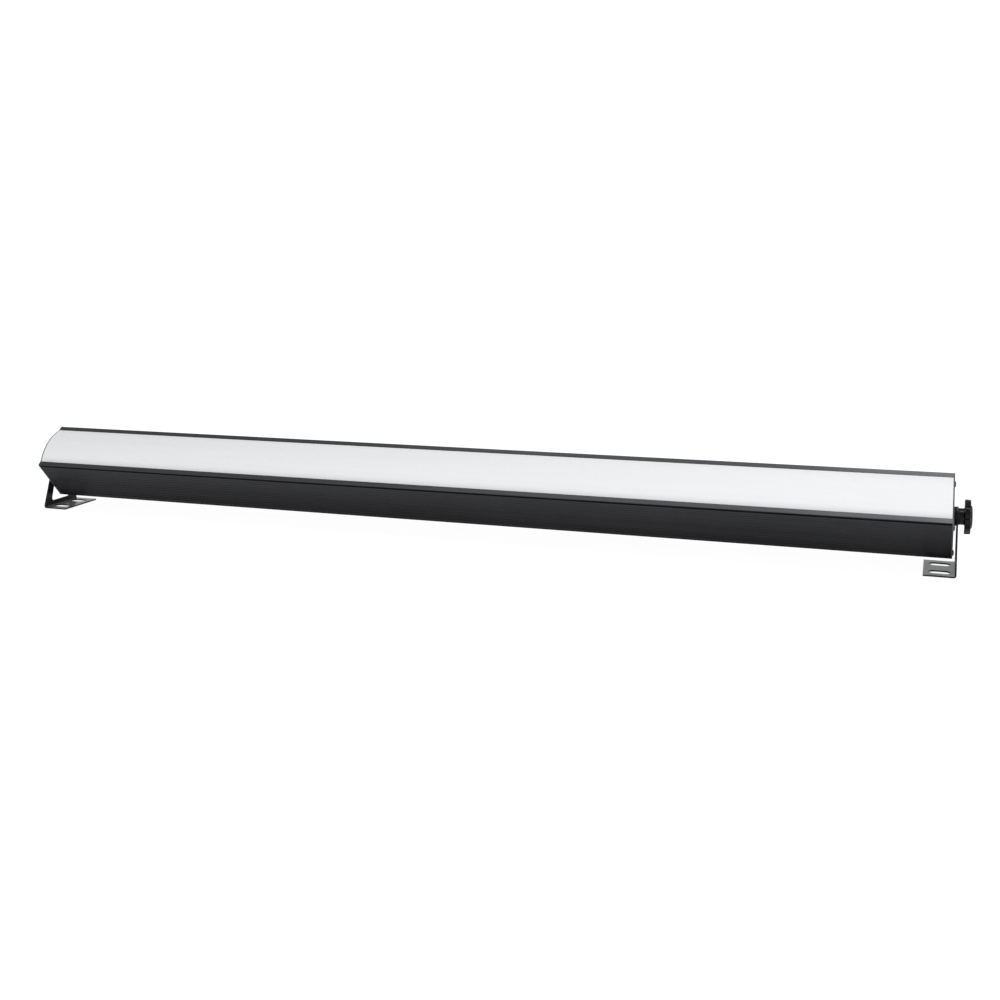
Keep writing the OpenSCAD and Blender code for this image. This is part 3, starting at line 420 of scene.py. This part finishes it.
def circuit_board(name, mask, copper_tint):
    """Solder mask over copper: tracks show as a faint raised pattern under the lacquer."""
    rough = 0.32
    s = Shader(name, mask, rough, Coat_Weight=0.3, Coat_Roughness=0.15)
    brick = s.node("ShaderNodeTexBrick", Vector=s.place((260, 260, 260)), Scale=1.0,
                   Mortar_Size=0.09, Mortar_Smooth=0.1, Brick_Width=2.4, Row_Height=0.6)
    brick.offset = 0.37
    tracks = brick.outputs["Fac"]
    patches = s.ramp(s.noise(90, 2), 0.46, 0.5)
    shown = s.math("MULTIPLY", tracks, patches, clamp=True)
    weave = s.noise(1800, 2)
    tone = s.mix(s.math("MULTIPLY", shown, 0.8), mask, copper_tint)
    tone = s.mix(s.math("MULTIPLY", s.ramp(weave, 0.4, 0.7), 0.15), tone, copper_tint)
    s.link(tone, "Base Color")
    s.link(s.ramp(weave, 0.3, 0.7, rough - 0.05, rough + 0.08), "Roughness")
    s.link(s.bump(shown, 0.4, 0.035 * MM), "Normal")
    return s.material


def light_packages():
    """White packages with a round phosphor window, spaced as the lights are."""
    s = Shader("led_packages", (0.85, 0.85, 0.82), 0.35, Coat_Weight=0.2, Coat_Roughness=0.1)
    half_pitch, half_row = 10 * MM, 6.5 * MM
    boards = [(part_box(f"led_board_{i}")[0].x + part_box(f"led_board_{i}")[1].x) / 2
              for i in (1, 2)]
    board_phase = s.math("PINGPONG", s.math("SUBTRACT", s.axis("X"), boards[0]),
                         (boards[1] - boards[0]) / 2)
    along = s.math("PINGPONG", s.math("SUBTRACT", board_phase, half_pitch), half_pitch)
    across = s.math("PINGPONG", s.axis("Y"), half_row)
    distance = s.math("SQRT", s.math("ADD", s.math("MULTIPLY", along, along),
                                     s.math("MULTIPLY", across, across)))
    grain = s.noise(4000, 3)
    window = s.ramp(distance, 1.9 * MM, 2.1 * MM, 1.0, 0.0)
    white = s.mix(s.ramp(grain, 0.4, 0.7), (0.84, 0.84, 0.81), (0.88, 0.88, 0.85))
    phosphor = s.mix(s.ramp(grain, 0.35, 0.7), (0.78, 0.62, 0.12), (0.88, 0.74, 0.2))
    s.link(s.mix(window, white, phosphor), "Base Color")
    s.link(s.ramp(grain, 0.3, 0.7, 0.28, 0.42), "Roughness")
    s.link(s.bump(grain, 0.1, 0.02 * MM), "Normal")
    return s.material


# A wave texture's scale is 1 / (this * pitch), which puts its bands two pitches apart
WAVE_TURN = 6.283


def winding(name, colour, gap, pitch):
    """Close turns of wire or tape, as bands with gaps painted dark as painted shade between turns."""
    s = Shader(name, colour, 0.3, Coat_Weight=0.4, Coat_Roughness=0.15)
    wave = s.node("ShaderNodeTexWave", Vector=s.place(), Scale=1 / (pitch * WAVE_TURN))
    wave.bands_direction = "Y"
    bands = wave.outputs["Fac"]
    speck = s.noise(900, 3)
    # painted shade: the gaps between the turns take the dark gap colour
    tone = s.mix(s.ramp(bands, 0.05, 0.4), gap, colour)
    s.link(s.mix(s.math("MULTIPLY", s.ramp(speck, 0.5, 0.8), 0.3), tone, gap), "Base Color")
    s.link(s.ramp(speck, 0.3, 0.7, 0.25, 0.4), "Roughness")
    s.link(s.bump(bands, 0.6, 0.2 * MM), "Normal")
    return s.material


def insulation(name, colour, second=None):
    """PVC wire insulation, with a second colour in a spiral where the wire has one."""
    stripe_pitch = 12 * MM
    s = Shader(name, colour, 0.42, Specular_IOR_Level=0.45)
    scuff = s.noise(700, 4)
    paler = scaled(colour, 1.25, 0.01)
    tone = s.mix(s.ramp(scuff, 0.4, 0.7), colour, paler)
    if second:
        wave = s.node("ShaderNodeTexWave", Vector=s.place((1, 2.2, 2.2)),
                      Scale=1 / (stripe_pitch * WAVE_TURN))
        wave.bands_direction = "DIAGONAL"
        tone = s.mix(s.ramp(wave.outputs["Fac"], 0.45, 0.55), tone, second)
    s.link(tone, "Base Color")
    s.link(s.ramp(scuff, 0.3, 0.7, 0.36, 0.5), "Roughness")
    s.link(s.bump(scuff, 0.08, 0.03 * MM), "Normal")
    return s.material


def banded_wires():
    """Low-voltage wires: red and black feeds lie in lanes, so the lane picks the colour."""
    s = Shader("low_voltage_insulation", (0.3, 0.02, 0.015), 0.42)
    red_side = s.ramp(s.axis("Y"), -14.3 * MM, -14.1 * MM, 1.0, 0.0)
    scuff = s.noise(700, 4)
    black = s.mix(s.ramp(scuff, 0.4, 0.7), (0.012, 0.012, 0.013), (0.03, 0.03, 0.032))
    red = s.mix(s.ramp(scuff, 0.4, 0.7), (0.42, 0.02, 0.015), (0.5, 0.05, 0.04))
    s.link(s.mix(red_side, black, red), "Base Color")
    s.link(s.ramp(scuff, 0.3, 0.7, 0.36, 0.5), "Roughness")
    s.link(s.bump(scuff, 0.08, 0.03 * MM), "Normal")
    return s.material


def ribbon_material():
    """Flat grey ribbon: a ridge for each core, and the first core marked red.

    The valleys between the cores are painted darker, as painted shade.
    """
    s = Shader("ribbon_insulation", (0.4, 0.4, 0.42), 0.4)
    half_core = 0.635 * MM
    ridge = s.math("PINGPONG", s.math("MULTIPLY", s.axis("Y"), 1 / half_core), 1.0)
    edge = s.ramp(s.axis("Y"), 11.2 * MM, 11.3 * MM)
    scuff = s.noise(900, 3)
    # painted shade: the grey goes darker into the valleys between the cores
    grey = s.mix(s.ramp(ridge, 0.0, 0.4), (0.22, 0.22, 0.23), (0.43, 0.43, 0.45))
    tone = s.mix(s.math("MULTIPLY", s.ramp(scuff, 0.45, 0.7), 0.3), grey, (0.5, 0.5, 0.52))
    s.link(s.mix(edge, tone, (0.4, 0.03, 0.02)), "Base Color")
    s.link(s.ramp(scuff, 0.3, 0.7, 0.35, 0.48), "Roughness")
    s.link(s.bump(ridge, 0.7, 0.25 * MM), "Normal")
    return s.material


def fuse_material():
    """Glass between plated caps, told apart by the place along the fuse."""
    s = Shader("fuse_glass_and_caps", (0.7, 0.7, 0.68), 0.2)
    low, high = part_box("fuse")
    middle = (low + high) / 2
    source = s.node("ShaderNodeTexCoord").outputs["Object"]
    offset = s.node("ShaderNodeVectorMath", i0=source, i1=tuple(middle))
    offset.operation = "SUBTRACT"
    along = s.node("ShaderNodeVectorMath", i0=offset.outputs[0], i1=tuple(FUSE_AXIS))
    along.operation = "DOT_PRODUCT"
    cap = s.ramp(s.math("ABSOLUTE", along.outputs["Value"]), 5.4 * MM, 5.6 * MM)
    marks = s.noise(1500, 3, turned=False)
    plate = s.mix(s.ramp(marks, 0.35, 0.7), (0.62, 0.6, 0.54), (0.75, 0.73, 0.68))
    s.link(s.mix(cap, (0.82, 0.86, 0.86), plate), "Base Color")
    s.link(cap, "Metallic")
    s.link(s.math("SUBTRACT", 1.0, cap), "Transmission Weight")
    s.link(s.ramp(marks, 0.3, 0.7, 0.12, 0.3), "Roughness")
    s.link(s.bump(marks, 0.08, 0.02 * MM), "Normal")
    return s.material


def smoked_window():
    """Smoked red acrylic over the display, with faint swirls from wiping."""
    s = Shader("display_filter", (0.09, 0.006, 0.006), 0.12, Coat_Weight=0.6, Coat_Roughness=0.06)
    swirl = s.noise(600, 4, turned=False)
    tone = s.mix(s.ramp(swirl, 0.4, 0.7), (0.085, 0.006, 0.006), (0.12, 0.012, 0.01))
    s.link(tone, "Base Color")
    s.link(s.ramp(swirl, 0.45, 0.75, 0.1, 0.22), "Roughness")
    s.link(s.bump(swirl, 0.04, 0.02 * MM), "Normal")
    return s.material


def make_materials():
    """One material for each slot of the record."""
    black_plastic = moulded("moulded_black", (0.017, 0.017, 0.018), 0.45)
    zinc = plated("zinc_plate", (0.6, 0.6, 0.61), 0.34, drift_colour=(0.62, 0.58, 0.5))
    # painted light: the bracket's and panel's up-facing faces are painted paler, as lit from above
    coat = powder_coat("black_powder_coat", (0.005, 0.005, 0.0055), 0.26, shine=0.12,
                       dust=(0.172, 0.172, 0.175))
    brass = plated("tinned_brass", (0.72, 0.6, 0.34), 0.28)
    return {
        # the first pair of colours runs from the back wall to the front: painted shade on the sides
        "housing": anodised("black_anodised", ((0.006, 0.006, 0.0065), (0.030, 0.0305, 0.033)),
                            (0.055, 0.056, 0.059), (0.09, 0.09, 0.095)),
        "diffuser": opal_plastic(),
        "end_cap": powder_coat("end_cap_coat", (0.01, 0.01, 0.011), 0.45, rim=(0.05, 0.05, 0.053)),
        "end_cap_screw": plated("black_oxide", (0.11, 0.11, 0.115), 0.38),
        "insert": zinc,
        "spacer": moulded("black_nylon", (0.004, 0.004, 0.0043), 0.4, shine=0.12),
        "bracket": coat,
        "washer": plated("washer_black_oxide", (0.035, 0.035, 0.037), 0.4),
        # painted highlight: the knob's lobe edges are painted much paler
        "knob": moulded("knob_plastic", (0.003, 0.003, 0.0036), 0.16, grain=0.06, shine=0.16,
                        edge_wear_and_highlight=0.2),
        "stud": zinc,
        "led_tray": plated("mill_aluminium", (0.72, 0.73, 0.74), 0.42, brush=(0.02, 1, 1)),
        "led_board": circuit_board("white_solder_mask", (0.82, 0.82, 0.8), (0.7, 0.68, 0.6)),
        "led": light_packages(),
        "steel_screw": zinc,
        "white_connector": moulded("natural_nylon", (0.78, 0.77, 0.7), 0.4),
        "panel": coat,
        "rear_screw": plated("black_oxide_small", (0.1, 0.1, 0.105), 0.36),
        "socket_body": black_plastic,
        "contact": brass,
        "fuse": fuse_material(),
        "latch": plated("latch_steel", (0.58, 0.58, 0.6), 0.3, brush=(0.05, 1, 1)),
        "green_board": circuit_board("green_solder_mask", (0.015, 0.12, 0.045), (0.04, 0.24, 0.08)),
        "display": moulded("display_block", (0.02, 0.02, 0.02), 0.5),
        "window": smoked_window(),
        "button": moulded("button_grey", (0.42, 0.42, 0.44), 0.42, grain=0.1),
        "switch": moulded("switch_black", (0.02, 0.02, 0.021), 0.5),
        # the second colour of each winding is painted shade for the gaps between turns
        "copper": winding("copper_turns", (0.6, 0.22, 0.07), (0.08, 0.02, 0.01), 0.0011),
        "transformer": winding("winding_tape", (0.68, 0.5, 0.06), (0.32, 0.22, 0.02), 0.004),
        "capacitor": moulded("capacitor_sleeve", (0.02, 0.03, 0.07), 0.28, grain=0.05, coat=0.3),
        "heatsink": plated("heatsink_aluminium", (0.62, 0.63, 0.64), 0.4, brush=(1, 1, 0.05)),
        "component": moulded("component_epoxy", (0.022, 0.022, 0.023), 0.5),
        "terminal": moulded("terminal_green", (0.02, 0.2, 0.06), 0.4),
        "pillar": plated("turned_brass", (0.72, 0.54, 0.22), 0.28),
        "live_wire": insulation("brown_insulation", (0.14, 0.055, 0.02)),
        "neutral_wire": insulation("blue_insulation", (0.02, 0.07, 0.36)),
        "earth_wire": insulation("earth_insulation", (0.04, 0.26, 0.03), (0.7, 0.55, 0.03)),
        "low_voltage_wire": banded_wires(),
        "signal_wire": insulation("grey_insulation", (0.24, 0.24, 0.25)),
        "ribbon": ribbon_material(),
    }


# ------------------------------------------------------------------ pieces

BEVEL_SEGMENTS = 2
BEVEL_ABOVE = 28     # degrees between faces, above which an edge is rounded
SHARP_ABOVE = 40     # degrees between faces, above which an edge is shaded sharp


def declare(piece, node):
    """Rides the piece on the node's body, in the node's place and with its finish."""
    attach(piece, BODY_OF[node])
    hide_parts(node)
    paint(piece, MATERIALS[SLOT_OF[node]])


def new_piece(name, bm, smooth_angle):
    """An object from the bmesh, with smooth faces and normals that follow the large ones."""
    mesh = bpy.data.meshes.new(name)
    bm.normal_update()
    for face in bm.faces:
        face.smooth = True
    for edge in bm.edges:
        if len(edge.link_faces) == 2:
            edge.smooth = edge.calc_face_angle(0) < math.radians(smooth_angle)
    bm.to_mesh(mesh)
    bm.free()
    piece = bpy.data.objects.new(name, mesh)
    bpy.context.scene.collection.objects.link(piece)
    # a flat face then shades flat right up to its rounded edge
    weighted = piece.modifiers.new("weighted", "WEIGHTED_NORMAL")
    weighted.keep_sharp = True
    graph = bpy.context.evaluated_depsgraph_get()
    piece.data = bpy.data.meshes.new_from_object(piece.evaluated_get(graph))
    piece.modifiers.clear()
    bpy.data.meshes.remove(mesh)
    piece.data.name = name
    return piece


def softened(node, width, angle=BEVEL_ABOVE, smooth_angle=SHARP_ABOVE):
    """The CAD node's own shape with its sharp edges rounded."""
    bm = bmesh.new()
    bm.from_mesh(NODES[node].data)
    bmesh.ops.remove_doubles(bm, verts=bm.verts, dist=1e-6)
    bmesh.ops.dissolve_limit(bm, angle_limit=math.radians(0.5), verts=bm.verts, edges=bm.edges)
    mesh = bpy.data.meshes.new(node + "_soft")
    bm.to_mesh(mesh)
    bm.free()
    source = bpy.data.objects.new(node + "_soft", mesh)
    bpy.context.scene.collection.objects.link(source)
    bevel = source.modifiers.new("bevel", "BEVEL")
    bevel.width = width
    bevel.segments = BEVEL_SEGMENTS
    bevel.limit_method = "ANGLE"
    bevel.angle_limit = math.radians(angle)
    bevel.use_clamp_overlap = True
    graph = bpy.context.evaluated_depsgraph_get()
    rounded = bpy.data.meshes.new_from_object(source.evaluated_get(graph))
    bpy.data.objects.remove(source)
    bm = bmesh.new()
    bm.from_mesh(rounded)
    bpy.data.meshes.remove(rounded)
    declare(new_piece(node + "_piece", bm, smooth_angle), node)


# The star knob. Heights are above the washer.
LOBES = 6
AROUND = 216             # points round the knob
NECK_R = 7.85 * MM
NECK_CHAMFER = 0.4 * MM
DISC_AT = 4.3 * MM       # underside of the lobed disc
DISC_T = 5.5 * MM
DISC_FILLET = 0.75 * MM
FILLET_STEPS = 5
DRAFT = 0.15 * MM        # the disc is this much narrower at the top
BOSS_R = 10.9 * MM
BOSS_STEP = 0.3 * MM
BOSS_STEPS = 9
BORE_R = 4.05 * MM
BORE_DEPTH = 5 * MM
SCALLOP_AT = 1.13        # centre and radius of the bites, as shares of the outer radius
SCALLOP_R = 0.34
LOBE_BLEND = 0.09        # width of the blend between bite and lobe, as a share of the same
KNOB_SHARP_ABOVE = 35


def lobed_radius(angle, outer):
    """Edge of the star at this angle: a circle with round bites, blended where they meet."""
    step = 2 * math.pi / LOBES
    off = (angle % step) - step / 2
    centre = outer * SCALLOP_AT
    bite_reach = (outer * SCALLOP_R) ** 2 - (centre * math.sin(off)) ** 2
    if bite_reach <= 0:
        return outer
    bite = centre * math.cos(off) - math.sqrt(bite_reach)
    blend = LOBE_BLEND * outer
    gap = max(blend - abs(outer - bite), 0) / blend
    return min(outer, bite) - gap * gap * blend / 4


def knob_profile(outer, height):
    """(radius, height above the base, share of the lobes' bites) from the base to the tip."""
    rim_top = DISC_AT + DISC_T
    boss_base = rim_top + BOSS_STEP
    inner = outer - DISC_FILLET
    arc = [math.pi / 2 * k / FILLET_STEPS for k in range(FILLET_STEPS + 1)]
    # up the neck and out under the disc
    profile = [(NECK_R - NECK_CHAMFER, 0, 0), (NECK_R, NECK_CHAMFER, 0),
               (NECK_R, DISC_AT - 1.0 * MM, 0),
               (NECK_R + 0.25 * MM, DISC_AT - 0.4 * MM, 0.1),
               (NECK_R + 0.9 * MM, DISC_AT - 0.05 * MM, 0.25),
               (inner - 1.2 * MM, DISC_AT, 1)]
    # round the disc's edge
    profile += [(inner + DISC_FILLET * math.sin(a), DISC_AT + DISC_FILLET * (1 - math.cos(a)), 1)
                for a in arc]
    profile += [(inner + DISC_FILLET * math.cos(a) - DRAFT,
                 rim_top - DISC_FILLET * (1 - math.sin(a)), 1) for a in arc]
    # in over the disc, losing the lobes, to the boss
    start, foot = inner - DRAFT, BOSS_R + 0.35 * MM
    profile += [(start + share * (foot - start), rim_top, 1 - share ** 2)
                for share in (0.3, 0.6, 0.85, 1.0)]
    profile.append((BOSS_R, boss_base, 0))
    # the boss is squarer than a circle, so that it is nearly flat
    for k in range(1, BOSS_STEPS):
        a = math.pi / 2 * k / BOSS_STEPS
        profile.append((BOSS_R * math.cos(a) ** 0.6,
                        boss_base + (height - boss_base) * math.sin(a) ** 0.8, 0))
    return profile


def star_knob(side):
    """Star knob turned about the tilt axis, with square-edged lobes and a low boss."""
    node = f"knob_{side}"
    low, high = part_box(node)
    sign = 1 if side == "right" else -1
    base = min(abs(low.x), abs(high.x))
    tip = max(abs(low.x), abs(high.x))
    outer = (high.y - low.y) / 2
    angles = [2 * math.pi * i / AROUND for i in range(AROUND)]
    bm = bmesh.new()

    def ring(radii, height):
        return [bm.verts.new((sign * (base + height), r * math.cos(a), PIVOT_Z + r * math.sin(a)))
                for r, a in zip(radii, angles)]

    def skin(a, b):
        for i in range(AROUND):
            j = (i + 1) % AROUND
            bm.faces.new((a[i], a[j], b[j], b[i]))

    edge = [lobed_radius(angle, outer) for angle in angles]
    rings = [ring([radius - (outer - e) * lobed for e in edge], height)
             for radius, height, lobed in knob_profile(outer, tip - base)]
    for a, b in zip(rings, rings[1:]):
        skin(a, b)
    centre = bm.verts.new((sign * tip, 0, PIVOT_Z))
    for i in range(AROUND):
        bm.faces.new((rings[-1][i], rings[-1][(i + 1) % AROUND], centre))
    bore = ring([BORE_R] * AROUND, 0)
    deep = ring([BORE_R] * AROUND, BORE_DEPTH)
    skin(bore, rings[0])
    skin(deep, bore)
    bm.faces.new(deep)
    bmesh.ops.recalc_face_normals(bm, faces=bm.faces)
    # the lobes are set from the batten's own frame, as in the CAD
    axis = Vector((0, 0, PIVOT_Z))
    bmesh.ops.rotate(bm, cent=axis, matrix=Matrix.Rotation(TILT, 3, "X"), verts=bm.verts)
    declare(new_piece(node + "_piece", bm, KNOB_SHARP_ABOVE), node)


# ------------------------------------------------------------------ build

MATERIALS = make_materials()

add_camera()
add_lights()
add_world()
add_floor()

for name, obj in NODES.items():
    paint(obj, MATERIALS[SLOT_OF[name]])

# Width in millimetres of each outer piece's rounded edges
BEVELS = {
    "housing": 0.14, "end_cap_left": 0.3, "end_cap_right": 0.3, "end_cap_screws": 0.16,
    "pivot_spacer_left": 0.25, "pivot_spacer_right": 0.25,
    "bracket_left": 0.22, "bracket_right": 0.22,
    "knob_washer_left": 0.2, "knob_washer_right": 0.2,
    "control_panel": 0.3, "rear_screws": 0.12, "mains_inlet": 0.3, "mains_outlet": 0.3,
    "fuse_holder": 0.4, "fuse_cap": 0.2, "dmx_input": 0.4, "dmx_output": 0.4,
    "dmx_output_latch": 0.3, "display_window": 0.2,
    "menu_button_1": 0.5, "menu_button_2": 0.5, "menu_button_3": 0.5, "menu_button_4": 0.5,
}
for name, width in BEVELS.items():
    softened(name, width * MM)
softened("diffuser", 0.25 * MM, angle=40, smooth_angle=30)
for side in ("left", "right"):
    star_knob(side)
